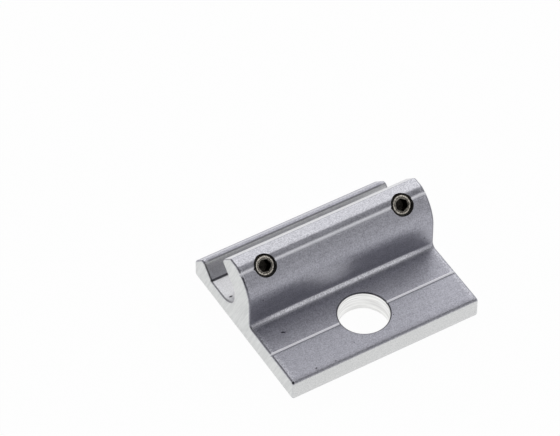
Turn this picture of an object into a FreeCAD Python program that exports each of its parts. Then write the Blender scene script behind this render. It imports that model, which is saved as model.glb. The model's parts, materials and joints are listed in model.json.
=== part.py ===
"""Centre mount for a rodless cylinder: a short length of aluminium extrusion with two set screws.

The frame is in millimetres. The origin is on the axis of the bolt hole, at the underside. +X runs along the
extrusion, +Y from the flange towards the lip, and +Z up. The barrel's rail lies in the slanted slot between
the lip and the hook, and the set screws come down through the hook to hold it there.
"""

import FreeCAD
import Part
import os
import Sketcher
from math import atan2, cos, pi, radians, sin, sqrt, tan

SIZES = [
    ("body_length", 36.8, "length of the sawn extrusion, along X"),
    ("body_width", 32.8, "flange edge to the outer face of the lip"),
    ("body_height", 15.4, "underside to the top of the hook"),
    ("flange_thickness", 4.15, "underside to the top of the flange"),
    ("hole_diameter", 9.0, "bolt hole through the flange, for an M8 bolt"),
    ("hole_edge", 7.3, "flange edge to the axis of the bolt hole"),
    ("hole_deburr", 0.15, "chamfer at both rims of the bolt hole"),
    ("lip_height", 3.3, "underside to the foot of the slanted seat on the lip"),
    ("lip_land", 3.88, "length of the slanted seat on the lip"),
    ("seat_angle", 45.0, "slope of the seat, in degrees"),
    ("slot_width", 9.5, "clear width of the slot between lip and hook, along the seat"),
    ("slot_reach", 13.3, "outer face of the lip to the upright wall of the slot"),
    ("slot_radius", 4.2, "round corner between the slot's floor and its upright wall"),
    ("floor_thickness", 3.15, "underside to the floor of the slot"),
    ("web_thickness", 5.15, "upright wall of the slot to the back of the web"),
    ("top_land", 2.1, "flat on top of the hook"),
    ("back_radius", 6.6, "round back of the hook"),
    ("root_radius", 0.8, "fillet between the flange and the web"),
    ("crest_radius", 1.0, "nose of the lip, between its seat and the slot"),
    ("brow_radius", 1.5, "round of the hook's back into its top"),
    ("nook_radius", 0.25, "fillet in the two inside corners of the slot"),
    ("base_radius", 0.55, "rounding of the two long corners at the underside"),
    ("corner_radius", 0.6, "rounding of the other long corners of the extrusion"),
    ("end_radius", 0.5, "rounding that tumbling leaves on the edges of the sawn ends"),
    ("flange_mark_depth", 0.3, "depth of the V mark that guides the bolt hole's drill"),
    ("hook_mark_depth", 0.38, "depth of the V mark that guides the tapped holes' drill"),
    ("hook_mark_rise", 0.2, "middle of that mark above the axis of the set screws"),
    ("screw_spacing", 27.0, "distance between the two set screws"),
    ("screw_offset", 3.15, "axis of the set screws below the plane of the seat"),
    ("screw_diameter", 4.0, "outside of the set screw's thread, M4"),
    ("screw_clearance", 0.05, "radial room between a set screw and its tapped hole"),
    ("screw_length", 5.0, "set screw, socket end to cup point"),
    ("screw_inset", 0.4, "cup point at rest, short of the slot's wall"),
    ("screw_chamfer", 0.4, "45 degree chamfer at the socket end"),
    ("point_angle", 45.0, "slope of the cone behind the cup point, in degrees"),
    ("cup_diameter", 2.0, "rim of the cup point"),
    ("cup_depth", 0.5, "hollow of the cup point"),
    ("socket_width", 2.0, "hexagon socket across its flats"),
    ("socket_depth", 2.0, "hexagon socket, straight part"),
    ("socket_cone", 0.55, "drill point below the hexagon socket"),
]

# Places that several features share, as formulas of the sheet's values.
OUTER = "(sizes.body_width - sizes.hole_edge)"
BACK = f"({OUTER} - sizes.slot_reach - sizes.web_thickness)"
TOP_BACK = f"({OUTER} - (sizes.body_height - sizes.lip_height) / tan(sizes.seat_angle) - sizes.top_land)"
HOOK_WALL = "(sizes.lip_land + sizes.slot_width)"
MARK_OFFSET = "(sizes.screw_offset - sizes.hook_mark_rise)"
BORE_RADIUS = "(sizes.screw_diameter / 2 + sizes.screw_clearance)"
BORE_START = f"({HOOK_WALL} - sizes.slot_width / 4)"
SOCKET_END = "(sizes.screw_length - sizes.socket_depth)"

# Which size rounds which corners of the section, in the order they are rounded.
ROUNDED = {
    "root_radius": ["web_root"],
    "crest_radius": ["lip_crest"],
    "brow_radius": ["top_back"],
    "nook_radius": ["lip_root", "hook_root"],
    "base_radius": ["lip_base", "flange_base"],
    "corner_radius": ["lip_foot", "hook_tip", "top_front", "flange_rim"],
}

# The ends of a line or arc, and the sketch's own origin and axes, as a sketch numbers them.
START, END, CENTRE = 1, 2, 3
ORIGIN = (-1, START)
H_AXIS, V_AXIS = -1, -2

SAME_PLACE = 1e-5
FULL_TURN = 360


def make_sheet(doc):
    """Put the driving dimensions into a spreadsheet, one row each, with their names as aliases."""
    sheet = doc.addObject("Spreadsheet::Sheet", "sizes")
    for row, (name, value, note) in enumerate(SIZES, start=1):
        sheet.set(f"A{row}", name)
        sheet.set(f"B{row}", str(value))
        sheet.set(f"C{row}", note)
        sheet.setAlias(f"B{row}", name)
    doc.recompute()
    return sheet


def below_seat(distance, offset="sizes.screw_offset"):
    """Formulas for Y and Z of a point so far up the seat from its foot, and so far below the seat's plane."""
    rise, run = "sin(sizes.seat_angle)", "cos(sizes.seat_angle)"
    y = f"{OUTER} - {distance} * {run} - {offset} * {rise}"
    z = f"sizes.lip_height + {distance} * {rise} - {offset} * {run}"
    return y, z


def origin_item(body, role):
    """Return one of the body's own origin planes or axes."""
    return next(item for item in body.Origin.OriginFeatures if item.Role == role)


def new_sketch(body, name, role, offset="0"):
    """Start a sketch on one of the body's origin planes, moved along the plane's normal."""
    sketch = body.newObject("Sketcher::SketchObject", name)
    sketch.AttachmentSupport = [(origin_item(body, role), "")]
    sketch.MapMode = "FlatFace"
    sketch.setExpression("AttachmentOffset.Base.z", offset)
    return sketch


def new_feature(body, kind, name, profile=None, **formulas):
    """Add a feature to the body, with its sizes bound to the sheet."""
    feature = body.newObject(f"PartDesign::{kind}", name)
    if profile:
        feature.Profile = profile
    for prop, formula in formulas.items():
        feature.setExpression(prop, formula)
    return feature


def round_edges(body, kind, name, edges, **formulas):
    """Fillet or chamfer the named edges or faces of the body's last shape."""
    base = body.Tip
    feature = new_feature(body, kind, name, **formulas)
    feature.Base = (base, edges)
    body.Document.recompute()
    return feature


def relate(sketch, *constraint):
    """Add a constraint to the sketch."""
    return sketch.addConstraint(Sketcher.Constraint(*constraint))


def drawn_value(sketch, kind, *items):
    """Measure a dimension on the sketch as it is drawn, to start the dimension from."""
    if kind in ("Radius", "Diameter"):
        radius = sketch.Geometry[items[0]].Radius
        return radius if kind == "Radius" else 2 * radius
    if len(items) == 1:
        line = sketch.Geometry[items[0]]
        way = line.EndPoint - line.StartPoint
        return atan2(way.y, way.x) if kind == "Angle" else way.Length
    point = sketch.getPoint(*items[:2])
    if len(items) == 3:
        line = sketch.Geometry[items[2]]
        return point.distanceToLine(line.StartPoint, line.EndPoint - line.StartPoint)
    way = sketch.getPoint(*items[2:]) - point
    return {"DistanceX": way.x, "DistanceY": way.y, "Distance": way.Length}[kind]


def bind(sketch, name, formula, *dimension):
    """Add a dimension to the sketch and bind it to a formula of the sheet's values."""
    value = drawn_value(sketch, *dimension)
    sketch.renameConstraint(relate(sketch, *dimension, value), name)
    sketch.setExpression(f"Constraints.{name}", formula)


def place_point(sketch, name, formulas, point):
    """Tie a point of the sketch to the origin, by formulas for its two coordinates."""
    bind(sketch, f"{name}_across", formulas[0], "DistanceX", *ORIGIN, *point)
    bind(sketch, f"{name}_up", formulas[1], "DistanceY", *ORIGIN, *point)


def add_line(sketch, start, end, construction=False):
    """Draw a straight line between two points of the sketch's plane."""
    return sketch.addGeometry(Part.LineSegment(FreeCAD.Vector(*start), FreeCAD.Vector(*end)), construction)


def add_arc(sketch, centre, radius, first, last):
    """Draw an arc, anticlockwise from the first angle to the last."""
    circle = Part.Circle(FreeCAD.Vector(*centre), FreeCAD.Vector(0, 0, 1), radius)
    return sketch.addGeometry(Part.ArcOfCircle(circle, first, last), False)


def add_outline(sketch, points):
    """Draw a closed outline of straight lines through the points and join their ends."""
    lines = [add_line(sketch, start, end) for start, end in zip(points, points[1:] + points[:1])]
    for line, following in zip(lines, lines[1:] + lines[:1]):
        relate(sketch, "Coincident", line, END, following, START)
    return lines


def up_seat(size, distance):
    """Y and Z of a point on the plane of the seat, by its distance up from the seat's foot."""
    slope = radians(size["seat_angle"])
    outer = size["body_width"] - size["hole_edge"]
    return outer - distance * cos(slope), size["lip_height"] + distance * sin(slope)


def drawn_below_seat(size, distance, offset):
    """Y and Z of a point so far up the seat from its foot, and so far below the seat's plane."""
    slope = radians(size["seat_angle"])
    y, z = up_seat(size, distance)
    return y - offset * sin(slope), z - offset * cos(slope)


def back_circle(size):
    """Y and Z of the hook's back edge at the top, and of the centre that its back is round about."""
    front = up_seat(size, (size["body_height"] - size["lip_height"]) / sin(radians(size["seat_angle"])))
    top_back = (front[0] - size["top_land"], size["body_height"])
    back = size["body_width"] - size["hole_edge"] - size["slot_reach"] - size["web_thickness"]
    across = back + size["back_radius"]
    return top_back, (across, top_back[1] - sqrt(size["back_radius"] ** 2 - (across - top_back[0]) ** 2))


def draw_section(body, size):
    """Draw the extrusion's section, and return its sketch and its corners by name."""
    sketch = new_sketch(body, "section", "YZ_Plane")
    slope = radians(size["seat_angle"])
    edge = -size["hole_edge"]
    outer = edge + size["body_width"]
    wall = outer - size["slot_reach"]
    back = wall - size["web_thickness"]
    flange = size["flange_thickness"]
    floor = size["floor_thickness"]
    slot_radius = size["slot_radius"]
    foot = up_seat(size, 0)
    crest = up_seat(size, size["lip_land"])
    tip = up_seat(size, size["lip_land"] + size["slot_width"])
    lip_root = (crest[0] - (crest[1] - floor) * tan(slope), floor)
    hook_root = (wall, tip[1] - (tip[0] - wall) / tan(slope))
    top_back, back_centre = back_circle(size)
    top_front = (top_back[0] + size["top_land"], size["body_height"])
    back_turn = atan2(top_back[1] - back_centre[1], top_back[0] - back_centre[0])

    base = add_line(sketch, (edge, 0), (outer, 0))
    lip_face = add_line(sketch, (outer, 0), foot)
    lip_seat = add_line(sketch, foot, crest)
    lip_wall = add_line(sketch, crest, lip_root)
    slot_floor = add_line(sketch, lip_root, (wall + slot_radius, floor))
    slot_arc = add_arc(sketch, (wall + slot_radius, floor + slot_radius), slot_radius, pi, 1.5 * pi)
    slot_wall = add_line(sketch, (wall, floor + slot_radius), hook_root)
    hook_wall = add_line(sketch, hook_root, tip)
    hook_seat = add_line(sketch, tip, top_front)
    hook_top = add_line(sketch, top_front, top_back)
    back_arc = add_arc(sketch, back_centre, size["back_radius"], back_turn, pi)
    web_back = add_line(sketch, (back, back_centre[1]), (back, flange))
    flange_top = add_line(sketch, (back, flange), (edge, flange))
    flange_edge = add_line(sketch, (edge, flange), (edge, 0))

    corners = {
        "lip_base": (base, END, lip_face, START),
        "lip_foot": (lip_face, END, lip_seat, START),
        "lip_crest": (lip_seat, END, lip_wall, START),
        "lip_root": (lip_wall, END, slot_floor, START),
        "hook_root": (slot_wall, END, hook_wall, START),
        "hook_tip": (hook_wall, END, hook_seat, START),
        "top_front": (hook_seat, END, hook_top, START),
        "top_back": (hook_top, END, back_arc, START),
        "web_root": (web_back, END, flange_top, START),
        "flange_rim": (flange_top, END, flange_edge, START),
        "flange_base": (flange_edge, END, base, START),
    }
    for ends in corners.values():
        relate(sketch, "Coincident", *ends)
    relate(sketch, "Tangent", slot_floor, END, slot_arc, END)
    relate(sketch, "Tangent", slot_arc, START, slot_wall, START)
    relate(sketch, "Tangent", back_arc, END, web_back, START)
    for line in (base, slot_floor, hook_top, flange_top):
        relate(sketch, "Horizontal", line)
    for line in (lip_face, slot_wall, web_back, flange_edge):
        relate(sketch, "Vertical", line)
    relate(sketch, "PointOnObject", base, START, H_AXIS)
    relate(sketch, "Perpendicular", lip_seat, lip_wall)
    relate(sketch, "Parallel", lip_wall, hook_wall)
    relate(sketch, "Tangent", lip_seat, hook_seat)

    bind(sketch, "hole_edge", "sizes.hole_edge", "DistanceX", base, START, *ORIGIN)
    bind(sketch, "body_width", "sizes.body_width", "DistanceX", base, START, base, END)
    bind(sketch, "body_height", "sizes.body_height", "DistanceY", base, START, hook_top, END)
    bind(sketch, "flange", "sizes.flange_thickness", "DistanceY", base, START, flange_top, END)
    bind(sketch, "lip_height", "sizes.lip_height", "DistanceY", lip_face, START, lip_face, END)
    bind(sketch, "seat_angle", "180 - sizes.seat_angle", "Angle", lip_seat)
    bind(sketch, "lip_land", "sizes.lip_land", "Distance", lip_seat)
    bind(sketch, "slot_width", "sizes.slot_width", "Distance", hook_wall, END, lip_wall)
    bind(sketch, "slot_reach", "sizes.slot_reach", "DistanceX", slot_wall, START, base, END)
    bind(sketch, "slot_radius", "sizes.slot_radius", "Radius", slot_arc)
    bind(sketch, "floor", "sizes.floor_thickness", "DistanceY", base, START, slot_floor, START)
    bind(sketch, "web", "sizes.web_thickness", "DistanceX", web_back, START, slot_wall, START)
    bind(sketch, "top_land", "sizes.top_land", "DistanceX", hook_top, END, hook_top, START)
    bind(sketch, "back_radius", "sizes.back_radius", "Radius", back_arc)
    body.Document.recompute()
    return sketch, {name: sketch.getPoint(*ends[:2]) for name, ends in corners.items()}


def long_edges(shape, points):
    """Name the straight edges along X that pass through the given points of the section."""
    names = []
    for number, edge in enumerate(shape.Edges, start=1):
        ends = [vertex.Point for vertex in edge.Vertexes]
        for point in points:
            if all(abs(end.y - point.x) + abs(end.z - point.y) < SAME_PLACE for end in ends):
                names.append(f"Edge{number}")
    return names


def end_faces(shape):
    """Name the two sawn faces."""
    reach = shape.BoundBox.XMax - SAME_PLACE
    faces = enumerate(shape.Faces, start=1)
    return [f"Face{number}" for number, face in faces if abs(face.CenterOfMass.x) > reach]


def hole_rims(shape, radius):
    """Name the two round edges of the bolt hole."""
    names = []
    for number, edge in enumerate(shape.Edges, start=1):
        if isinstance(edge.Curve, Part.Circle) and edge.isClosed():
            if abs(edge.Curve.Radius - radius) < SAME_PLACE:
                names.append(f"Edge{number}")
    return names


def add_v_mark(sketch, name, apex, axis, size):
    """Draw one V with square flanks about an axis of the sketch, opening along the direction given.

    It is drawn twice as deep as it cuts, so its mouth is four times that depth wide.
    """
    origin, direction = apex
    reach = 2 * size[f"{name}_depth"]
    middle = [place + reach * step for place, step in zip(origin, direction)]
    across = (-direction[1], direction[0])
    left = [place + reach * step for place, step in zip(middle, across)]
    right = [place - reach * step for place, step in zip(middle, across)]
    flank, mouth, other = add_outline(sketch, [origin, right, left])
    relate(sketch, "PointOnObject", flank, START, axis)
    relate(sketch, "Symmetric", mouth, START, mouth, END, axis)
    relate(sketch, "Perpendicular", flank, other)
    bind(sketch, f"{name}_mouth", f"4 * sizes.{name}_depth", "Distance", mouth)
    return flank


def draw_marks(body, size):
    """Draw the two V marks: across the bolt hole on the flange, and along the hook's back by the screws."""
    sketch = new_sketch(body, "marks", "YZ_Plane")
    flange_apex = (0, size["flange_thickness"] - size["flange_mark_depth"])
    flank = add_v_mark(sketch, "flange_mark", (flange_apex, (0, 1)), V_AXIS, size)
    bind(sketch, "flange_mark", "sizes.flange_thickness - sizes.flange_mark_depth",
         "DistanceY", *ORIGIN, flank, START)

    # The back's own circle shows where a line along the screws leaves the hook.
    slope = radians(size["seat_angle"])
    outward = (-cos(slope), sin(slope))
    offset = size["screw_offset"] - size["hook_mark_rise"]
    start = drawn_below_seat(size, size["lip_land"] + size["slot_width"], offset)
    top_back, centre = back_circle(size)
    away = [place - middle for place, middle in zip(start, centre)]
    inner_radius = size["back_radius"] - size["hook_mark_depth"]
    forward = away[0] * outward[0] + away[1] * outward[1]
    travel = sqrt(forward ** 2 + inner_radius ** 2 - away[0] ** 2 - away[1] ** 2) - forward
    apex = [place + travel * step for place, step in zip(start, outward)]

    end = [place + size["back_radius"] * step for place, step in zip(start, outward)]
    axis = add_line(sketch, start, end, construction=True)
    place_point(sketch, "mark_axis", below_seat(HOOK_WALL, MARK_OFFSET), (axis, START))
    bind(sketch, "axis_slope", "180 - sizes.seat_angle", "Angle", axis)
    bind(sketch, "axis_length", "sizes.back_radius", "Distance", axis)
    radius = add_line(sketch, centre, top_back, construction=True)
    place_point(sketch, "top_back", (TOP_BACK, "sizes.body_height"), (radius, END))
    bind(sketch, "back_centre", f"{BACK} + sizes.back_radius", "DistanceX", *ORIGIN, radius, START)
    bind(sketch, "back_radius", "sizes.back_radius", "Distance", radius)
    flank = add_v_mark(sketch, "hook_mark", (apex, outward), axis, size)
    bind(sketch, "hook_mark", "sizes.back_radius - sizes.hook_mark_depth",
         "Distance", radius, START, flank, START)
    return sketch


def draw_screw_bore(body, size):
    """Draw half of a tapped hole's outline, against the screw's axis, at +X."""
    sketch = new_sketch(body, "screw_bore", "YZ_Plane", "sizes.screw_spacing / 2")
    slope = radians(size["seat_angle"])
    outward = (-cos(slope), sin(slope))
    across = (sin(slope), cos(slope))
    radius = size["screw_diameter"] / 2 + size["screw_clearance"]
    start = drawn_below_seat(size, size["lip_land"] + size["slot_width"] * 3 / 4, size["screw_offset"])
    end = [place + size["body_height"] * step for place, step in zip(start, outward)]
    aside = [[place + radius * step for place, step in zip(point, across)] for point in (end, start)]
    on_axis, far_end, side, near_end = add_outline(sketch, [start, end, *aside])
    place_point(sketch, "inner_end", below_seat(BORE_START), (on_axis, START))
    bind(sketch, "slope", "180 - sizes.seat_angle", "Angle", on_axis)
    relate(sketch, "Perpendicular", on_axis, far_end)
    relate(sketch, "Perpendicular", on_axis, near_end)
    relate(sketch, "Parallel", on_axis, side)
    bind(sketch, "reach", "sizes.body_height", "Distance", on_axis)
    bind(sketch, "bore", BORE_RADIUS, "Distance", far_end)
    return sketch


def make_profile(doc, size):
    """Make the mount itself: extrude the section, round it, drill and mark it."""
    body = doc.addObject("PartDesign::Body", "mount_profile")
    section, corners = draw_section(body, size)
    extrusion = new_feature(body, "Pad", "extrusion", section, Length="sizes.body_length")
    extrusion.SideType = "Symmetric"
    doc.recompute()

    for radius, names in ROUNDED.items():
        edges = long_edges(body.Shape, [corners[name] for name in names])
        round_edges(body, "Fillet", f"{radius}_fillet", edges, Radius=f"sizes.{radius}")
    round_edges(body, "Fillet", "sawn_ends", end_faces(body.Shape), Radius="sizes.end_radius")

    circle = new_sketch(body, "bolt_circle", "XY_Plane")
    drawn = Part.Circle(FreeCAD.Vector(), FreeCAD.Vector(0, 0, 1), size["hole_diameter"] / 2)
    rim = circle.addGeometry(drawn)
    relate(circle, "Coincident", rim, CENTRE, *ORIGIN)
    bind(circle, "diameter", "sizes.hole_diameter", "Diameter", rim)
    hole = new_feature(body, "Pocket", "bolt_hole", circle, Length="sizes.flange_thickness")
    hole.Reversed = True
    doc.recompute()
    rims = hole_rims(body.Shape, size["hole_diameter"] / 2)
    round_edges(body, "Chamfer", "hole_deburr", rims, Size="sizes.hole_deburr")

    marks = new_feature(body, "Pocket", "v_marks", draw_marks(body, size), Length="2 * sizes.body_length")
    marks.SideType = "Symmetric"
    doc.recompute()

    outline = draw_screw_bore(body, size)
    bore = new_feature(body, "Groove", "tapped_hole", outline)
    bore.ReferenceAxis = (outline, ["Edge1"])
    bore.Angle = FULL_TURN
    doc.recompute()
    twin = new_feature(body, "Mirrored", "tapped_hole_pair")
    twin.Originals = [bore]
    twin.MirrorPlane = (origin_item(body, "YZ_Plane"), [""])
    body.Tip = twin
    doc.recompute()
    return body


def draw_screw_outline(body, size):
    """Draw half of a set screw's outline, from its cup point at the origin up to its socket end."""
    sketch = new_sketch(body, "outline", "XZ_Plane")
    radius = size["screw_diameter"] / 2
    rim = size["cup_diameter"] / 2
    length = size["screw_length"]
    chamfer = size["screw_chamfer"]
    cup, cone, side, bevel, face, axis = add_outline(sketch, [
        (0, size["cup_depth"]), (rim, 0), (radius, (radius - rim) * tan(radians(size["point_angle"]))),
        (radius, length - chamfer), (radius - chamfer, length), (0, length)])
    relate(sketch, "PointOnObject", cup, START, V_AXIS)
    relate(sketch, "PointOnObject", cup, END, H_AXIS)
    relate(sketch, "PointOnObject", axis, START, V_AXIS)
    relate(sketch, "Vertical", side)
    relate(sketch, "Horizontal", face)
    bind(sketch, "cup_depth", "sizes.cup_depth", "DistanceY", *ORIGIN, cup, START)
    bind(sketch, "cup_rim", "sizes.cup_diameter / 2", "DistanceX", *ORIGIN, cup, END)
    bind(sketch, "cone", "sizes.point_angle", "Angle", cone)
    bind(sketch, "radius", "sizes.screw_diameter / 2", "DistanceX", *ORIGIN, side, START)
    bind(sketch, "length", "sizes.screw_length", "DistanceY", *ORIGIN, face, START)
    bind(sketch, "chamfer_across", "sizes.screw_chamfer", "DistanceX", bevel, END, bevel, START)
    bind(sketch, "chamfer_up", "sizes.screw_chamfer", "DistanceY", bevel, START, bevel, END)
    return sketch


def draw_socket(body, size):
    """Draw the hexagon of a set screw's socket, at its socket end."""
    sketch = new_sketch(body, "socket", "XY_Plane", "sizes.screw_length")
    reach = size["socket_width"] / sqrt(3)
    turns = [turn * pi / 3 for turn in range(6)]
    flats = add_outline(sketch, [(reach * cos(turn), reach * sin(turn)) for turn in turns])
    circle = Part.Circle(FreeCAD.Vector(), FreeCAD.Vector(0, 0, 1), reach)
    around = sketch.addGeometry(circle, True)
    relate(sketch, "Coincident", around, CENTRE, *ORIGIN)
    for flat in flats:
        relate(sketch, "PointOnObject", flat, START, around)
    for flat in flats[1:]:
        relate(sketch, "Equal", flats[0], flat)
    relate(sketch, "PointOnObject", flats[0], START, H_AXIS)
    bind(sketch, "across_corners", "sizes.socket_width / sqrt(3)", "Radius", around)
    return sketch


def draw_drill_point(body, size):
    """Draw half of the cone that the drill leaves below the socket."""
    sketch = new_sketch(body, "drill_point", "XZ_Plane")
    level = size["screw_length"] - size["socket_depth"]
    rim = size["socket_width"] / 2
    slant, top, axis = add_outline(sketch, [(0, level - size["socket_cone"]), (rim, level), (0, level)])
    relate(sketch, "PointOnObject", slant, START, V_AXIS)
    relate(sketch, "PointOnObject", axis, START, V_AXIS)
    relate(sketch, "Horizontal", top)
    bind(sketch, "level", SOCKET_END, "DistanceY", *ORIGIN, top, START)
    bind(sketch, "rim", "sizes.socket_width / 2", "DistanceX", *ORIGIN, top, START)
    bind(sketch, "cone", "sizes.socket_cone", "DistanceY", slant, START, slant, END)
    return sketch


def make_screw(doc, name, side, size):
    """Make one cup point set screw and put it in its tapped hole, on the side of X given by a sign."""
    body = doc.addObject("PartDesign::Body", name)
    outline = draw_screw_outline(body, size)
    blank = new_feature(body, "Revolution", "blank", outline)
    blank.ReferenceAxis = (outline, ["V_Axis"])
    blank.Angle = FULL_TURN
    doc.recompute()
    new_feature(body, "Pocket", "hexagon", draw_socket(body, size), Length="sizes.socket_depth")
    doc.recompute()
    cone = draw_drill_point(body, size)
    point = new_feature(body, "Groove", "drill_cone", cone)
    point.ReferenceAxis = (cone, ["V_Axis"])
    point.Angle = FULL_TURN

    y, z = below_seat(f"({HOOK_WALL} + sizes.screw_inset)")
    body.Placement = FreeCAD.Placement(FreeCAD.Vector(), FreeCAD.Rotation(FreeCAD.Vector(1, 0, 0), 1))
    body.setExpression("Placement.Rotation.Angle", "90 - sizes.seat_angle")
    body.setExpression("Placement.Base.x", f"{side} * sizes.screw_spacing / 2")
    body.setExpression("Placement.Base.y", y)
    body.setExpression("Placement.Base.z", z)
    doc.recompute()
    return body


def check(doc, nodes):
    """Stop if an object failed, a cut took nothing away or a sub-part isn't one valid solid."""
    for item in doc.Objects:
        if "Invalid" in item.State or "Error" in item.State:
            raise RuntimeError(f"{item.Name} failed: {item.State}")
        if item.TypeId in ("PartDesign::Pocket", "PartDesign::Groove"):
            if item.Shape.Volume >= item.BaseFeature.Shape.Volume - SAME_PLACE:
                raise RuntimeError(f"{item.Name} cuts nothing")
        if item.TypeId == "Sketcher::SketchObject" and not item.FullyConstrained:
            raise RuntimeError(f"{item.Name} isn't fully constrained")
    for node in nodes:
        if node.Shape.isNull() or not node.Shape.isValid() or len(node.Shape.Solids) != 1:
            raise RuntimeError(f"{node.Label} isn't one valid solid")


def main():
    doc = FreeCAD.newDocument("centre_mount")
    sheet = make_sheet(doc)
    size = {name: float(sheet.get(name)) for name, _, _ in SIZES}
    nodes = [make_profile(doc, size)]
    for name, side in (("set_screw_left", -1), ("set_screw_right", 1)):
        nodes.append(make_screw(doc, name, side, size))
    check(doc, nodes)
    os.makedirs("parts", exist_ok=True)
    for node in nodes:
        node.Shape.exportStep(f"parts/{node.Label}.step")
        print(f"{node.Label}: {node.Shape.Volume:.2f} cubic mm")


main()
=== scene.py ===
"""Looks of a rodless cylinder centre mount: tumbled aluminium with sawn ends, two threaded set screws."""

import json
import math

import bpy
import numpy as np
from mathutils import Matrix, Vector
from mathutils.bvhtree import BVHTree


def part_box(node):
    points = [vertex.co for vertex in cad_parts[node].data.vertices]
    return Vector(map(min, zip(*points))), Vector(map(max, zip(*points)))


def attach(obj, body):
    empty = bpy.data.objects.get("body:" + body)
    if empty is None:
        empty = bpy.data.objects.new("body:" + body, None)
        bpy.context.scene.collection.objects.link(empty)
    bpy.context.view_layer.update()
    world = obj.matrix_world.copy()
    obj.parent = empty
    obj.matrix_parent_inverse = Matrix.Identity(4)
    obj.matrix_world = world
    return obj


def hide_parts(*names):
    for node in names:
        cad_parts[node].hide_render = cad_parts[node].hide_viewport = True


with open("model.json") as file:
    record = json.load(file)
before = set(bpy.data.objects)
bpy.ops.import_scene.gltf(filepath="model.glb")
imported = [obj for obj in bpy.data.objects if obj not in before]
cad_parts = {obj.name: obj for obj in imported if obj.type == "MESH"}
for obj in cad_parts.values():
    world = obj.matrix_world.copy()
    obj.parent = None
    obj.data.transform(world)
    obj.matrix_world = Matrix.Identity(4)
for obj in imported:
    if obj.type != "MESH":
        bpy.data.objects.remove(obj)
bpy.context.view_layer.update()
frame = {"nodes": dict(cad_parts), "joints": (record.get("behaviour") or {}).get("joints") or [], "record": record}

MM = 0.001
TURN = 2 * math.pi
DOWN = (0, 0, -1)
FORWARD = (0, -1, 0)
REARWARD = (0, 1, 0)

# Body of the mount, read from the frame, in millimetres.
PROFILE = frame["nodes"]["mount_profile"]
PROFILE_TREE = BVHTree.FromObject(PROFILE, bpy.context.evaluated_depsgraph_get())
PROFILE_LOW, PROFILE_HIGH = [np.array(corner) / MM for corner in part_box("mount_profile")]
HALF_LENGTH = PROFILE_HIGH[0]
FLANGE_EDGE = PROFILE_LOW[1]
LIP_FACE = PROFILE_HIGH[1]
HOOK_TOP = PROFILE_HIGH[2]
BOLT_HOLE = next(mount for mount in frame["record"]["mounts"] if mount["name"] == "bolt_hole")
HOLE_RADIUS = BOLT_HOLE["dims"]["r_mm"]

# Where rays look for the faces of its section, in millimetres.
CLEAR_X = 1.8 * HOLE_RADIUS
BEFORE_FLANGE = 2 * FLANGE_EDGE
ABOVE_HOOK = 2 * HOOK_TOP
SLOT_INSET = 8.0
SLOT_MIDDLE = LIP_FACE - SLOT_INSET
FACE_RISE = 2.0
LIP_STEP = 0.05

# M4 thread of the set screws and their holes, in millimetres; its flats are shares of the pitch.
PITCH = 0.7
CREST_RADIUS = 1.98
ROOT_RADIUS = 1.59
CREST_SHARE = 0.125
ROOT_SHARE = 0.22
THREAD_ROOM = 0.06
BORE_RADIUS = 2.05
SLEEVE_WALL = 0.06
SLEEVE_RADIUS = BORE_RADIUS + SLEEVE_WALL
SLEEVE_SETBACK = 0.02

# Steps of the meshes, and the angle from which an edge stays sharp.
ROWS_PER_PITCH = 24
ROUND_STEPS = 96
SHARP_ANGLE = math.radians(32)

# Socket end and cup point of the set screws, in millimetres, the mouth's slope, and each socket's turn.
FACE_RADIUS = 1.66
FACE_ROUND = 0.06
WORN_EDGE = 0.26
GROOVE_RADIUS = 1.32
GROOVE_WIDTH = 0.10
GROOVE_DEPTH = 0.06
CUP_RADIUS = 1.0
CUP_DEPTH = 0.5
SOCKET_SIDES = 6
SOCKET_WIDTH = 2.0
SOCKET_DEPTH = 2.0
SOCKET_MOUTH_RADIUS = 1.19
SOCKET_MOUTH_SLOPE = 0.6
SOCKET_RIM = 0.12
DRILL_DEPTH = 0.55
AXIS_RADIUS = 0.02
SOCKET_CLOCKS = {"left": math.radians(12), "right": math.radians(37)}

# How far the black is worn off the steel, from 0 to 1.
BLACK, DULL, GREY, BRIGHT = 0.0, 0.05, 0.45, 1.0

# Colours of the steel and of the tapped threads, dark and light; the threads' near black is oil and painted shade
# of the gap round the screws.
STEEL_TONES = ((0.014, 0.012, 0.010, 1), (0.80, 0.75, 0.67, 1))
THREAD_OIL_AND_SHADE_TONES = ((0.010, 0.010, 0.010, 1), (0.05, 0.048, 0.045, 1))

# Noises, per millimetre: scale, detail and roughness.
GRAIN = (4.4, 4.0, 0.70)
BLOTCH = (1.1, 3.0, 0.55)
DIE = (1.0, 2.0, 0.5)
STROKE = (1.0, 3.0, 0.6)
STEEL_GRAIN = (5.0, 4.0, 0.6)

# Sizes of a die line, a saw stroke and a drill ring, in millimetres, and how far the strokes lean.
DIE_LINE = (40.0, 0.3, 0.3)
SAW_STROKE = (1.0, 0.34, 5.0)
SAW_LEAN = math.radians(26)
DRILL_RING = (6.0, 6.0, 0.35)

# How much of one noise is mixed into another.
BLOTCH_SHARE = 0.2
DIE_SHARE = 0.1
SPECKLE_SHARE = 0.4

# Roughness: the span of a noise and the roughness at both ends of it, or one even roughness.
SKIN_ROUGHNESS = (0.25, 0.75, 0.38, 0.48)
SAWN_ROUGHNESS = (0.30, 0.70, 0.50, 0.40)
STEEL_ROUGHNESS = (0.25, 0.75, 0.24, 0.36)
THREAD_ROUGHNESS = (0.25, 0.75, 0.30, 0.45)
LINE_ROUGHNESS = 0.42
DRILLED_ROUGHNESS = 0.35

# How strongly the fine turning grooves of the steel stretch what it reflects.
STEEL_BRUSHING = 0.8

# Bumps: strength, and height in millimetres.
GRAIN_BUMP = (0.5, 0.03)
STROKE_BUMP = (0.25, 0.05)
RING_BUMP = (0.4, 0.05)
NICK_BUMP = (0.6, 0.05)
STEEL_BUMP = (0.4, 0.02)
THREAD_BUMP = (0.3, 0.01)

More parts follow.
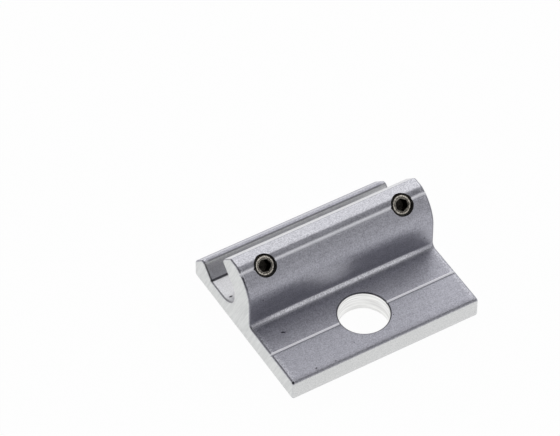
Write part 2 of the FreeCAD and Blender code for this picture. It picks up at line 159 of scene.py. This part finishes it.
# Tones of the aluminium: the texture that mixes the dark and the light one, and the span it does so over.
TONES = {
    "extruded": ("tone", (0.36, 0.64), (0.296, 0.296, 0.336, 1), (0.518, 0.518, 0.577, 1)),
    "pale": ("tone", (0.36, 0.64), (0.455, 0.455, 0.498, 1), (0.766, 0.766, 0.814, 1)),
    "slot": ("tone", (0.36, 0.64), (0.62, 0.62, 0.64, 1), (0.77, 0.77, 0.79, 1)),
    "rubbed": ("tone", (0.34, 0.66), (0.57, 0.58, 0.58, 1), (0.78, 0.78, 0.78, 1)),
    "sawn": ("strokes", (0.36, 0.64), (0.65, 0.66, 0.66, 1), (0.74, 0.75, 0.745, 1)),
    "drilled": ("rings", (0.35, 0.65), (0.74, 0.74, 0.73, 1), (0.97, 0.97, 0.96, 1)),
}
# The brightest tone paints highlights; the near-black tones other than nick paint shade.
FLAT_TONES = {
    "shade": (0.10, 0.10, 0.11, 1),
    "worn": (0.85, 0.85, 0.90, 1),
    "bright": (0.95, 0.95, 1.0, 1),
    "burr": (0.08, 0.08, 0.09, 1),
    "rim": (0.10, 0.10, 0.12, 1),
    "nick": (0.05, 0.05, 0.06, 1),
}

# Coats over the extruded skin, the lowest first: where each lies, how strong it is, and its tone.
COATS = (
    ("top", 1.0, "pale"),
    ("lip_rub", 0.8, "pale"),
    ("slot", 1.0, "slot"),
    # Painted shade: a dark line on the inner rounding of the lip's crest.
    ("lip_line", 0.75, "shade"),
    ("worn", 0.5, "worn"),
    # Painted shade on the flange's top, behind its front edge.
    ("brow", 0.18, "shade"),
    ("rubbed", 1.0, "rubbed"),
    # Painted highlights along the web's root, the flange's mark and the hook's line.
    ("bright", 1.0, "bright"),
    # Painted shade on and round the bolt hole's deburred edge.
    ("burr", 0.9, "burr"),
    # Painted shade: dark outlines on the roundings of the ends.
    ("rim", 0.62, "rim"),
    ("sawn", 1.0, "sawn"),
    ("drilled", 1.0, "drilled"),
    # Painted shade in the corner at the lip's foot.
    ("crease", 0.9, "shade"),
    ("nicked", 1.0, "nick"),
)

# Lines along the mount: where each fades out and where it is full, in millimetres from its middle.
LINE_REACH = {
    # The web's root, the flange's mark and the hook's line carry painted highlights; the lip's foot and crest
    # carry painted shade.
    "root": (0.68, 0.17),
    "flange_mark": (0.24, 0.14),
    "hook_mark": (0.60, 0.54),
    "hook_line": (0.45, 0.09),
    "crease": (0.24, 0.14),
    "lip_line": (0.24, 0.096),
    "lip_rub": (0.90, 0.54),
}

# Lines that are patchy: the span of the grain, and the least share of the line that is left.
LINE_PATCHES = {
    "root": (0.40, 0.60, 0.45),
    "hook_line": (0.30, 0.60, 0.75),
    "lip_line": (0.30, 0.60, 0.60),
}

# How far the lines lie from the faces and edges that rays find, across the section, in millimetres.
ROOT_RISE = np.array((-0.07, 0.48))
FLANGE_MARK_RISE = np.array((0.2, 0.2))
HOOK_MARK_RISE = 0.2
HOOK_LINE_RISE = 0.12
HOOK_LINE_OUT = 0.15
PAINTED_CREASE_SHADE_RISE = 0.2
PAINTED_LIP_SHADE_RISE = np.array((-0.26, -0.03))
LIP_RUB_RISE = np.array((1.2, -0.75))

# How far the web's root seems to face the way that the screws come out, from 0 to 1.
ROOT_TILT = 0.7

# Where a finish starts and where it is full, in millimetres from a face, an edge or the hole's wall;
# a reach is where it ends on both sides.
EDGE_REACH = 0.3
RIM_SHADE_REACH = 3 * EDGE_REACH
INSIDE_START, INSIDE_FULL = 0.3, 0.9
SLOT_WALL_SPAN = (-0.4, -0.1)
SLOT_TOP_SPAN = (0.0, -0.3)
SLOT_LIP_SPAN = (-0.15, -0.55)
SLOT_FLOOR_SPAN = (-0.5, -0.2)
PAINTED_BROW_SHADE_SPAN = (1.3, 0.7)
DRILLED_SPAN = (0.12, 0.02)
PAINTED_HOLE_SHADE_SPAN = (0.30, 0.15)
WORN_SPAN = (-1.4, -0.5)
ROOT_SPAN = (2.0, -8.0)

# The same by the way the surface faces: a span or a reach of one coordinate of its direction.
END_FACING = (0.62, 0.92)
SIDE_FACING = (0.78, 0.97)
CORNER_FACING = (0.10, 0.30)
UPRIGHT_REACH = 0.3
TOP_FACING = (0.94, 0.99)
RIM_SHADE_START_FACING = (0.08, 0.30)
RIM_SHADE_STOP_FACING = (0.80, 0.55)
RIM_SHADE_UP_FACING = (-0.5, 0.0)
PAINTED_BROW_SHADE_FACING = (0.45, 0.85)
DRILLED_FACING = (0.4, 0.1)
PAINTED_HOLE_SHADE_FACING = (0.2, 0.5)
WORN_FACING = (0.5, 0.9)
MARK_FACING = (0.3, 0.1)

# The same by a noise; the steel's patches also have the least and the most share that is worn.
WORN_GRAIN = (0.40, 0.62)
STEEL_PATCHES = (0.38, 0.60, 0.30, 1.0)
THREAD_GRAIN = (0.35, 0.70)

# Small nicks from handling: place, half length and half width in millimetres, and turn about the upright.
NICKS = (
    ((-13.9, 3.3, 4.15), 0.58, 0.21, math.radians(-24)),
    ((-13.2, -6.3, 4.15), 0.22, 0.18, 0.0),
    ((-18.1, -6.95, 4.0), 0.30, 0.24, 0.0),
    ((-9.6, -6.6, 4.15), 0.18, 0.12, 0.0),
    ((4.15, -2.8, 4.15), 0.15, 0.12, 0.0),
    ((5.0, 6.0, 4.2), 0.16, 0.14, 0.0),
    ((-4.8, -4.7, 4.15), 0.14, 0.12, 0.0),
    ((16.4, 7.05, 7.05), 0.16, 0.16, 0.0),
    ((-15.6, 7.05, 9.65), 0.16, 0.16, 0.0),
    ((-17.1, 15.4, 3.3), 0.42, 0.26, 0.0),
)

# Where a nick starts and where it is full, as shares of its half sizes.
NICK_EDGE = (1.0, 0.5)

# The photograph's camera, fitted to the corners of the mount, in millimetres and the photograph's pixels.
CAMERA_EYE = (-233.55, -365.13, 504.385)
CAMERA_TARGET = (0.676, 28.908, 0.35)
FOCAL_PIXELS = 3912
PICTURE_WIDTH = 560
SENSOR_WIDTH = 36.0
CLIP_START, CLIP_END = 10, 10000

# Softboxes: place and size in metres, and brightness, which doesn't depend on the size.
SOFTBOXES = {
    "behind": ((0.40, 0.80, 0.55), (1.5, 0.9), 0.53),
    "behind_high": ((0.25, 0.50, 0.85), (1.2, 0.6), 0.69),
    "behind_low": ((0.45, 0.90, 0.18), (1.5, 0.3), 0.90),
    "right": ((0.95, 0.40, 0.45), (1.6, 0.9), 0.90),
    "front": ((0.42, -0.75, 0.55), (1.2, 0.8), 0.75),
    "left": ((-0.95, 0.40, 0.50), (1.6, 0.9), 0.90),
    "above": ((0.0, 0.0, 1.1), (0.8, 0.8), 0.90),
}

# The room round the softboxes, which is dark.
ROOM_COLOUR = (0, 0, 0, 1)

# Floor: radius and height of its rings in metres, its colours, and the room under the mount in millimetres.
FLOOR_RINGS = ((0.0, 0.0), (1.2, 0.0), (1.6, 0.03), (1.8, 0.12), (1.9, 0.26))
FLOOR_COLOUR = (0.9, 0.9, 0.9, 1)
GLOW_COLOUR = (1, 1, 1, 1)
GLOW_SHARE = 0.975
FLOOR_GAP = 0.02


class Nodes:
    """The node tree of a material or of the world, with short calls to add and join nodes."""

    def __init__(self, tree):
        self.tree = tree
        tree.nodes.clear()

    def add(self, kind, inputs=None, **settings):
        node = self.tree.nodes.new(kind)
        for name, value in settings.items():
            setattr(node, name, value)
        for key, value in (inputs or {}).items():
            self.set(node.inputs[key], value)
        return node

    def set(self, socket, value):
        if isinstance(value, bpy.types.NodeSocket):
            self.tree.links.new(value, socket)
        else:
            socket.default_value = value

    def math(self, operation, first, second=0.0):
        return self.add("ShaderNodeMath", {0: first, 1: second}, operation=operation).outputs[0]

    def product(self, first, *others):
        for other in others:
            first = self.math("MULTIPLY", first, other)
        return first

    def most(self, first, *others):
        for other in others:
            first = self.math("MAXIMUM", first, other)
        return first

    def step(self, value, low, high, start=0.0, end=1.0):
        """A smooth step from start to end as the value goes from low to high."""
        inputs = {"Value": value, "From Min": low, "From Max": high, "To Min": start, "To Max": end}
        return self.add("ShaderNodeMapRange", inputs, interpolation_type="SMOOTHSTEP").outputs["Result"]

    def past(self, value, place, span):
        """A smooth step over a span that is measured from a place."""
        return self.step(value, place + span[0], place + span[1])

    def near(self, value, target, reach):
        """1 within a third of the reach from a target, falling to 0 at the reach."""
        gap = self.math("ABSOLUTE", self.math("SUBTRACT", value, target))
        return self.step(gap, reach, reach / 3)

    def distance(self, first, second, point):
        """How far the surface lies from a point of a plane, by two of its coordinates."""
        flat = self.add("ShaderNodeCombineXYZ", {0: first, 1: second}).outputs[0]
        inputs = {0: flat, 1: (*point, 0.0)}
        return self.add("ShaderNodeVectorMath", inputs, operation="DISTANCE").outputs["Value"]

    def local(self, vector, centre=(0, 0, 0), turn=(0, 0, 0), size=(1, 1, 1)):
        """The vector in a frame with its own centre, turn and unit sizes."""
        inputs = {"Vector": vector, "Location": centre, "Rotation": turn, "Scale": size}
        return self.add("ShaderNodeMapping", inputs, vector_type="TEXTURE").outputs[0]

    def noise(self, vector, scale, detail, roughness):
        inputs = {"Vector": vector, "Scale": scale, "Detail": detail, "Roughness": roughness}
        return self.add("ShaderNodeTexNoise", inputs).outputs["Fac"]

    def mix(self, share, first, second):
        """A colour between two others."""
        return self.add("ShaderNodeMix", {0: share, 6: first, 7: second}, data_type="RGBA").outputs[2]

    def blend(self, share, first, second):
        """A number between two others."""
        return self.add("ShaderNodeMix", {0: share, 2: first, 3: second}, data_type="FLOAT").outputs[0]

    def bump(self, height, strength, distance, normal=None):
        inputs = {"Height": height, "Strength": strength, "Distance": distance * MM}
        if normal is not None:
            inputs["Normal"] = normal
        return self.add("ShaderNodeBump", inputs).outputs["Normal"]

    def world(self, way):
        """A way given in the object's own frame, in the world's."""
        settings = {"vector_type": "VECTOR", "convert_from": "OBJECT", "convert_to": "WORLD"}
        return self.add("ShaderNodeVectorTransform", {0: way}, **settings).outputs[0]

    def tilt(self, share, way):
        """The surface's normal, turned by a share towards a way in the object's own frame."""
        normal = self.add("ShaderNodeNewGeometry").outputs["Normal"]
        inputs = {0: share, 4: normal, 5: self.world(way)}
        mixed = self.add("ShaderNodeMix", inputs, data_type="VECTOR").outputs[1]
        return self.add("ShaderNodeVectorMath", {0: mixed}, operation="NORMALIZE").outputs[0]

    def position(self):
        """The point on the object, in millimetres: the vector and its three coordinates."""
        place = self.add("ShaderNodeTexCoord").outputs["Object"]
        scaled = self.add("ShaderNodeVectorMath", {0: place, 3: 1 / MM}, operation="SCALE").outputs[0]
        return scaled, self.add("ShaderNodeSeparateXYZ", {0: scaled}).outputs

    def facing(self):
        """The three coordinates of the surface's direction, in the object's own frame."""
        normal = self.add("ShaderNodeTexCoord").outputs["Normal"]
        return self.add("ShaderNodeSeparateXYZ", {0: normal}).outputs


def new_material(name):
    """A material and its empty node tree."""
    material = bpy.data.materials.new(name)
    material.use_nodes = True
    return material, Nodes(material.node_tree)


def finish_metal(nodes, colour, roughness, normal, **inputs):
    """Joins what a metal looks like to its shader and its output."""
    inputs.update({"Base Color": colour, "Metallic": 1.0, "Roughness": roughness, "Normal": normal})
    shader = nodes.add("ShaderNodeBsdfPrincipled", inputs)
    nodes.add("ShaderNodeOutputMaterial", {"Surface": shader.outputs[0]})


def surface_point(start, way):
    """Where a ray from a point first meets the mount's body, in millimetres."""
    hit = PROFILE_TREE.ray_cast(Vector(start) * MM, Vector(way))[0]
    return np.array(hit) / MM


def lip_crest():
    """The highest point of the lip's section, as (y, z)."""
    insets = np.arange(LIP_STEP, LIP_FACE - SLOT_MIDDLE, LIP_STEP)
    points = [surface_point((CLEAR_X, LIP_FACE - inset, ABOVE_HOOK), DOWN) for inset in insets]
    return max(points, key=lambda point: point[2])[1:]


def slot_corner():
    """Where the slot's wall and floor lie, as (y, z)."""
    floor = surface_point((CLEAR_X, SLOT_MIDDLE, ABOVE_HOOK), DOWN)[2]
    wall = surface_point((CLEAR_X, SLOT_MIDDLE, floor + FACE_RISE), FORWARD)[1]
    return wall, floor


def section_lines(axis_frame, length):
    """Points of the section, as (y, z), that the lines along the mount pass through."""
    origin, _, beside, along = axis_frame
    flange_top = surface_point((CLEAR_X, FLANGE_EDGE / 2, ABOVE_HOOK), DOWN)[2]
    web_back = surface_point((CLEAR_X, BEFORE_FLANGE, flange_top + FACE_RISE), REARWARD)[1]
    flange_mark = surface_point((CLEAR_X, 0, ABOVE_HOOK), DOWN)
    lip_top = lip_crest()
    outside = origin + HOOK_MARK_RISE * beside + 2 * length * along
    outside[0] = CLEAR_X
    hook_mark = surface_point(outside, -along)
    hook_line = hook_mark + HOOK_LINE_RISE * beside + HOOK_LINE_OUT * along
    _, slot_floor = slot_corner()
    lip_foot = surface_point((CLEAR_X, SLOT_MIDDLE, slot_floor + PAINTED_CREASE_SHADE_RISE), REARWARD)
    return {
        "root": np.array((web_back, flange_top)) + ROOT_RISE,
        "flange_mark": flange_mark[1:] + FLANGE_MARK_RISE,
        "hook_mark": hook_mark[1:],
        "hook_line": hook_line[1:],
        # Painted shade in the corner at the lip's foot.
        "crease": lip_foot[1:],
        # Painted shade on the inner rounding of the lip's crest.
        "lip_line": lip_top + PAINTED_LIP_SHADE_RISE,
        "lip_rub": lip_top + LIP_RUB_RISE,
    }


def aluminium_textures(nodes, place):
    """Speckle from tumbling over slow changes of tone and faint die lines, saw strokes, and drill rings."""
    grain = nodes.noise(place, *GRAIN)
    blotch = nodes.noise(place, *BLOTCH)
    die = nodes.noise(nodes.local(place, size=DIE_LINE), *DIE)
    tone = nodes.blend(BLOTCH_SHARE, grain, blotch)
    tone = nodes.blend(DIE_SHARE, tone, die)
    strokes = nodes.noise(nodes.local(place, turn=(SAW_LEAN, 0, 0), size=SAW_STROKE), *STROKE)
    strokes = nodes.blend(SPECKLE_SHARE, strokes, tone)
    rings = nodes.noise(nodes.local(place, size=DRILL_RING), *STROKE)
    return {"grain": grain, "blotch": blotch, "tone": tone, "strokes": strokes, "rings": rings}


def line_masks(nodes, y, z, grain, lines):
    """Where each line along the mount lies, from 0 to 1; some are patchy."""
    masks = {}
    for name, point in lines.items():
        masks[name] = nodes.step(nodes.distance(y, z, point), *LINE_REACH[name])
        if name in LINE_PATCHES:
            masks[name] = nodes.product(masks[name], nodes.step(grain, *LINE_PATCHES[name]))
    return masks


def nick_mask(nodes, place, centre, half_length, half_width, turn):
    """1 inside a small oval nick."""
    inside = nodes.local(place, centre, (0, 0, turn), (half_length, half_width, half_width))
    reach = nodes.add("ShaderNodeVectorMath", {0: inside}, operation="LENGTH").outputs["Value"]
    return nodes.step(reach, *NICK_EDGE)


def finish_masks(nodes, place, point, grain, lines):
    """Where each finish lies, from 0 to 1, by the place on the mount and the way its surface faces."""
    x, y, z = point
    normal_x, normal_y, normal_z = nodes.facing()
    facing_x = nodes.math("ABSOLUTE", normal_x)
    facing_y = nodes.math("ABSOLUTE", normal_y)
    from_middle = nodes.math("ABSOLUTE", x)
    from_hole = nodes.distance(x, y, (0.0, 0.0))
    slot_wall, slot_floor = slot_corner()
    at_end = nodes.near(from_middle, HALF_LENGTH, EDGE_REACH)
    at_side = nodes.most(nodes.near(y, FLANGE_EDGE, EDGE_REACH), nodes.near(y, LIP_FACE, EDGE_REACH))
    upright = nodes.near(normal_z, 0.0, UPRIGHT_REACH)
    upright_corner = nodes.product(upright, nodes.step(facing_x, *CORNER_FACING))
    inside = nodes.product(nodes.step(y, FLANGE_EDGE + INSIDE_START, FLANGE_EDGE + INSIDE_FULL),
                           nodes.step(y, LIP_FACE - INSIDE_START, LIP_FACE - INSIDE_FULL))
    masks = line_masks(nodes, y, z, grain, lines)

    # Sawn ends, faces that handling has rubbed, and the paler top and slot.
    masks["sawn"] = nodes.product(at_end, nodes.step(facing_x, *END_FACING))
    masks["rubbed"] = nodes.product(at_side, nodes.most(nodes.step(facing_y, *SIDE_FACING), upright_corner))
    masks["top"] = nodes.product(nodes.near(z, HOOK_TOP, EDGE_REACH), nodes.step(normal_z, *TOP_FACING))
    masks["slot"] = nodes.product(nodes.past(y, slot_wall, SLOT_WALL_SPAN),
                                  nodes.past(z, HOOK_TOP, SLOT_TOP_SPAN),
                                  nodes.past(y, lip_crest()[0], SLOT_LIP_SPAN),
                                  nodes.past(z, slot_floor, SLOT_FLOOR_SPAN))

    # Painted shade on the rims of the ends and on the brow over the front edge, the wall of the bolt hole with
    # painted shade on its deburred edge, and nicks.
    masks["rim"] = nodes.product(nodes.step(facing_x, *RIM_SHADE_START_FACING),
                                 nodes.step(facing_x, *RIM_SHADE_STOP_FACING),
                                 inside, nodes.step(normal_z, *RIM_SHADE_UP_FACING),
                                 nodes.near(from_middle, HALF_LENGTH, RIM_SHADE_REACH))
    masks["brow"] = nodes.product(nodes.past(y, FLANGE_EDGE, PAINTED_BROW_SHADE_SPAN), nodes.step(normal_z, *PAINTED_BROW_SHADE_FACING))
    masks["drilled"] = nodes.product(nodes.past(from_hole, HOLE_RADIUS, DRILLED_SPAN),
                                     nodes.step(normal_z, *DRILLED_FACING))
    masks["burr"] = nodes.product(nodes.past(from_hole, HOLE_RADIUS, PAINTED_HOLE_SHADE_SPAN),
                                  nodes.step(normal_z, *PAINTED_HOLE_SHADE_FACING))
    masks["nicked"] = nodes.most(*[nick_mask(nodes, place, *nick) for nick in NICKS])

    # Worn strips beside the ends, and painted highlights along lines on the web's root, the flange and the hook;
    # the root fades towards the ends.
    masks["worn"] = nodes.product(nodes.past(from_middle, HALF_LENGTH, WORN_SPAN),
                                  nodes.step(normal_z, *WORN_FACING), nodes.step(grain, *WORN_GRAIN))
    masks["hook_mark"] = nodes.product(masks["hook_mark"], nodes.step(facing_x, *MARK_FACING))
    masks["root"] = nodes.product(masks["root"], nodes.past(from_middle, HALF_LENGTH, ROOT_SPAN))
    masks["sheltered"] = nodes.most(masks["root"], masks["flange_mark"])
    masks["bright"] = nodes.most(masks["sheltered"], masks["hook_line"])
    return masks


def aluminium_colour(nodes, textures, masks):
    """The extruded skin with its coats over it."""
    tones = dict(FLAT_TONES)
    for name, (texture, span, dark, light) in TONES.items():
        tones[name] = nodes.mix(nodes.step(textures[texture], *span), dark, light)
    colour = tones["extruded"]
    for name, strength, tone in COATS:
        colour = nodes.mix(nodes.product(masks[name], strength), colour, tones[tone])
    return colour


def aluminium_material(axis_frame, length):
    """Tumbled extrusion: a speckled satin skin, pale sawn ends, rubbed faces, painted highlights along lines, and
    painted shade on rims, creases and edges.
    """
    material, nodes = new_material("tumbled_aluminium_look")
    place, point = nodes.position()
    textures = aluminium_textures(nodes, place)
    masks = finish_masks(nodes, place, point, textures["grain"], section_lines(axis_frame, length))
    colour = aluminium_colour(nodes, textures, masks)

    roughness = nodes.step(textures["blotch"], *SKIN_ROUGHNESS)
    roughness = nodes.blend(masks["sawn"], roughness, nodes.step(textures["strokes"], *SAWN_ROUGHNESS))
    roughness = nodes.blend(masks["sheltered"], roughness, LINE_ROUGHNESS)
    roughness = nodes.blend(masks["drilled"], roughness, DRILLED_ROUGHNESS)

    # The hook's mark and the web's root catch the light as a face square to the screws does.
    tilted = nodes.most(masks["hook_mark"], nodes.product(masks["root"], ROOT_TILT))
    normal = nodes.tilt(tilted, tuple(axis_frame[3]))
    normal = nodes.bump(textures["grain"], *GRAIN_BUMP, normal)
    normal = nodes.bump(nodes.product(textures["strokes"], masks["sawn"]), *STROKE_BUMP, normal)
    normal = nodes.bump(nodes.product(textures["rings"], masks["drilled"]), *RING_BUMP, normal)
    normal = nodes.bump(nodes.math("SUBTRACT", 1.0, masks["nicked"]), *NICK_BUMP, normal)
    finish_metal(nodes, colour, roughness, normal)
    return material


def thread_material():
    """Walls of the tapped holes, dark with oil and with painted shade."""
    material, nodes = new_material("tapped_thread_look")
    place, _ = nodes.position()
    grain = nodes.noise(place, *STEEL_GRAIN)
    colour = nodes.mix(nodes.step(grain, *THREAD_GRAIN), *THREAD_OIL_AND_SHADE_TONES)
    roughness = nodes.step(grain, *THREAD_ROUGHNESS)
    finish_metal(nodes, colour, roughness, nodes.bump(grain, *THREAD_BUMP))
    return material


def steel_material():
    """Blackened steel of the set screws, worn grey and bright on the turned face of the socket end."""
    material, nodes = new_material("black_steel_look")
    place, _ = nodes.position()
    grain = nodes.noise(place, *STEEL_GRAIN)
    worn = nodes.add("ShaderNodeAttribute", attribute_name="shade").outputs["Fac"]
    out_way = nodes.add("ShaderNodeAttribute", attribute_name="out_way").outputs["Vector"]
    patchy = nodes.product(worn, nodes.step(grain, *STEEL_PATCHES))
    colour = nodes.mix(patchy, *STEEL_TONES)
    roughness = nodes.step(grain, *STEEL_ROUGHNESS)
    brushed = {"Anisotropic": STEEL_BRUSHING, "Tangent": out_way}
    finish_metal(nodes, colour, roughness, nodes.bump(grain, *STEEL_BUMP), **brushed)
    return material


def thread_radius(turns):
    """Radius of the thread by its place along the pitch: a flat crest, a flat root and straight flanks."""
    phase = np.abs((turns % 1.0) - 0.5) * 2
    flank = (phase - ROOT_SHARE) / (1 - ROOT_SHARE - CREST_SHARE)
    return ROOT_RADIUS + (CREST_RADIUS - ROOT_RADIUS) * np.clip(flank, 0, 1)


def loft(name, rings, axis_frame, closed=False):
    """A mesh of rings round an axis, each a radius, a height and a shade; its ends are capped or joined."""
    origin, across, beside, along = axis_frame
    angles = np.arange(ROUND_STEPS) * TURN / ROUND_STEPS
    out = np.outer(np.cos(angles), across) + np.outer(np.sin(angles), beside)
    whole = np.ones(ROUND_STEPS)
    radii, heights, shades = [np.array([part * whole for part in column]) for column in zip(*rings)]
    points = radii[:, :, None] * out + heights[:, :, None] * along + origin
    number = np.arange(len(rings) * ROUND_STEPS).reshape(len(rings), ROUND_STEPS)
    lower = number if closed else number[:-1]
    upper = np.roll(number, -1, axis=0) if closed else number[1:]
    corners = (lower, np.roll(lower, -1, axis=1), np.roll(upper, -1, axis=1), upper)
    faces = np.stack(corners, axis=-1).reshape(-1, 4).tolist()
    if not closed:
        faces.append(number[0, ::-1].tolist())
        faces.append(number[-1].tolist())
    mesh = bpy.data.meshes.new(name)
    mesh.from_pydata((points.reshape(-1, 3) * MM).tolist(), [], faces)
    mesh.attributes.new("shade", "FLOAT", "POINT").data.foreach_set("value", shades.ravel())
    out_ways = np.tile(out, (len(rings), 1))
    mesh.attributes.new("out_way", "FLOAT_VECTOR", "POINT").data.foreach_set("vector", out_ways.ravel())
    mesh.shade_smooth()
    mesh.set_sharp_from_angle(angle=SHARP_ANGLE)
    piece = bpy.data.objects.new(name, mesh)
    bpy.context.scene.collection.objects.link(piece)
    return piece


def screw_frame(side):
    """A set screw's axis and length: the centre of its point, two ways across, and the way out."""
    node = frame["nodes"][f"set_screw_{side}"]
    joint = next(joint for joint in frame["joints"] if joint["child"] == f"{side}_screw")
    outward = -np.array(joint["axis"], float)
    outward /= np.linalg.norm(outward)
    across = np.array([1.0, 0.0, 0.0])
    beside = np.cross(outward, across)
    points = np.array([vertex.co for vertex in node.data.vertices]) / MM
    middle = [((points @ way).max() + (points @ way).min()) / 2 for way in (across, beside)]
    tip = (points @ outward).min()
    length = (points @ outward).max() - tip
    origin = middle[0] * across + middle[1] * beside + tip * outward
    return (origin, across, beside, outward), length


def hexagon_radius(clock):
    """Radius of the socket's hexagon at each step of a turn."""
    angles = np.arange(ROUND_STEPS) * TURN / ROUND_STEPS + clock
    side = TURN / SOCKET_SIDES
    return SOCKET_WIDTH / 2 / np.cos(angles % side - side / 2)


def make_screw(name, axis_frame, length, clock):
    """A set screw with a helical thread, a cup point, and a hexagon socket in a turned face."""
    turns = np.arange(ROUND_STEPS) / ROUND_STEPS
    rows = int(length / PITCH * ROWS_PER_PITCH)
    rings = [(AXIS_RADIUS, CUP_DEPTH, BLACK)]
    for row in range(rows):
        height = (length - FACE_ROUND) * row / (rows - 1)
        tip_cone = CUP_RADIUS + height
        end_cone = FACE_RADIUS + (length - FACE_ROUND - height)
        radius = np.minimum(thread_radius(height / PITCH - turns), min(tip_cone, end_cone))
        rings.append((radius, height, BLACK))
    rings += [
        (FACE_RADIUS - FACE_ROUND, length, BRIGHT),
        (FACE_RADIUS - WORN_EDGE, length, BRIGHT),
        (GROOVE_RADIUS + GROOVE_WIDTH / 2, length, GREY),
        (GROOVE_RADIUS, length - GROOVE_DEPTH, BLACK),
        (GROOVE_RADIUS - GROOVE_WIDTH / 2, length, GREY),
        (SOCKET_MOUTH_RADIUS, length, GREY),
    ]
    hexagon = hexagon_radius(clock)
    mouth = length - (SOCKET_MOUTH_RADIUS - hexagon) * SOCKET_MOUTH_SLOPE
    floor = length - SOCKET_DEPTH
    rings += [
        (hexagon, mouth, DULL),
        (hexagon, mouth - SOCKET_RIM, DULL),
        (hexagon, floor, DULL),
        (SOCKET_WIDTH / 2, floor, DULL),
        (AXIS_RADIUS, floor - DRILL_DEPTH, DULL),
    ]
    return loft(name, rings, axis_frame)


def bore_ends(axis_frame, radius, length):
    """Where a tapped hole comes out of the hook's back and of its slot wall, at each step round it."""
    origin, across, beside, along = axis_frame
    outside = 2 * length * along
    within = length / 2 * along
    tops, bottoms = [], []
    for step in range(ROUND_STEPS):
        angle = step * TURN / ROUND_STEPS
        side = origin + radius * (math.cos(angle) * across + math.sin(angle) * beside)
        tops.append((surface_point(side + outside, -along) - origin) @ along)
        bottoms.append((surface_point(side + within, -along) - origin) @ along)
    return np.array(tops), np.array(bottoms)


def make_tapped_thread(name, axis_frame, length):
    """The thread in a tapped hole: a sleeve in the bore's wall whose ridges fill the screw's grooves."""
    top, bottom = bore_ends(axis_frame, SLEEVE_RADIUS, length)
    top = top - SLEEVE_SETBACK
    bottom = bottom + SLEEVE_SETBACK
    turns = np.arange(ROUND_STEPS) / ROUND_STEPS
    rows = int(np.mean(top - bottom) / PITCH * ROWS_PER_PITCH)
    rings = [(SLEEVE_RADIUS, bottom, BLACK), (SLEEVE_RADIUS, top, BLACK)]
    for row in range(rows, -1, -1):
        height = bottom + (top - bottom) * row / rows
        ridge = thread_radius(height / PITCH - turns) + THREAD_ROOM
        rings.append((ridge, height, BLACK))
    return loft(name, rings, axis_frame, closed=True)


def floor_material():
    """Pale and matte under the lamps, and nearly white to the camera and in the metal."""
    material, nodes = new_material("white_floor")
    path = nodes.add("ShaderNodeLightPath").outputs
    seen = nodes.most(path["Is Camera Ray"], path["Is Glossy Ray"], path["Is Transmission Ray"])
    matte = nodes.add("ShaderNodeBsdfDiffuse", {"Color": FLOOR_COLOUR}).outputs[0]
    glow = nodes.add("ShaderNodeEmission", {"Color": GLOW_COLOUR}).outputs[0]
    mixed = nodes.add("ShaderNodeMixShader", {0: nodes.product(seen, GLOW_SHARE), 1: matte, 2: glow})
    nodes.add("ShaderNodeOutputMaterial", {"Surface": mixed.outputs[0]})
    return material


def make_floor():
    """A wide white floor that sweeps up at its rim."""
    vertices, faces = [], []
    for ring, (radius, height) in enumerate(FLOOR_RINGS):
        for step in range(ROUND_STEPS):
            angle = step * TURN / ROUND_STEPS
            vertices.append((radius * math.cos(angle), radius * math.sin(angle), height - FLOOR_GAP * MM))
            if ring:
                here = ring * ROUND_STEPS + step
                side = ring * ROUND_STEPS + (step + 1) % ROUND_STEPS
                faces.append((here - ROUND_STEPS, side - ROUND_STEPS, side, here))
    mesh = bpy.data.meshes.new("floor")
    mesh.from_pydata(vertices, [], faces)
    mesh.shade_smooth()
    mesh.materials.append(floor_material())
    floor = bpy.data.objects.new("floor", mesh)
    bpy.context.scene.collection.objects.link(floor)


def add_softbox(name, place, size, brightness):
    """A rectangular light of a given brightness, facing the mount."""
    light = bpy.data.lights.new(name, "AREA")
    light.shape = "RECTANGLE"
    light.size, light.size_y = size
    light.energy = brightness * math.pi * size[0] * size[1]
    lamp = bpy.data.objects.new(name, light)
    lamp.location = place
    lamp.rotation_euler = (-Vector(place)).to_track_quat("-Z", "Y").to_euler()
    bpy.context.scene.collection.objects.link(lamp)


def make_studio():
    """Large softboxes round the mount and above it, in a dark room."""
    for name, (place, size, brightness) in SOFTBOXES.items():
        add_softbox(name, place, size, brightness)
    world = bpy.data.worlds.new("room")
    world.use_nodes = True
    nodes = Nodes(world.node_tree)
    room = nodes.add("ShaderNodeBackground", {"Color": ROOM_COLOUR})
    nodes.add("ShaderNodeOutputWorld", {"Surface": room.outputs[0]})
    bpy.context.scene.world = world


def make_camera():
    """The photograph's view."""
    data = bpy.data.cameras.new("camera")
    data.sensor_width = SENSOR_WIDTH
    data.lens = FOCAL_PIXELS / PICTURE_WIDTH * SENSOR_WIDTH
    data.clip_start = CLIP_START * MM
    data.clip_end = CLIP_END * MM
    camera = bpy.data.objects.new("camera", data)
    eye = Vector(CAMERA_EYE) * MM
    target = Vector(CAMERA_TARGET) * MM
    camera.location = eye
    camera.rotation_euler = (target - eye).to_track_quat("-Z", "Y").to_euler()
    bpy.context.scene.collection.objects.link(camera)
    bpy.context.scene.camera = camera


def main():
    """Gives the mount its finish, replaces its screws by threaded ones, and sets up the studio."""
    screws = {side: screw_frame(side) for side in SOCKET_CLOCKS}
    aluminium = aluminium_material(*screws["right"])
    steel = steel_material()
    tapped = thread_material()
    PROFILE.material_slots[0].material = aluminium
    for side, (axis_frame, length) in screws.items():
        screw = make_screw(f"threaded_screw_{side}", axis_frame, length, SOCKET_CLOCKS[side])
        screw.data.materials.append(steel)
        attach(screw, f"{side}_screw")
        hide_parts(f"set_screw_{side}")
        thread = make_tapped_thread(f"tapped_thread_{side}", axis_frame, length)
        thread.data.materials.append(tapped)
        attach(thread, "mount")
    make_floor()
    make_studio()
    make_camera()
    bpy.context.scene.view_settings.view_transform = "Standard"


main()
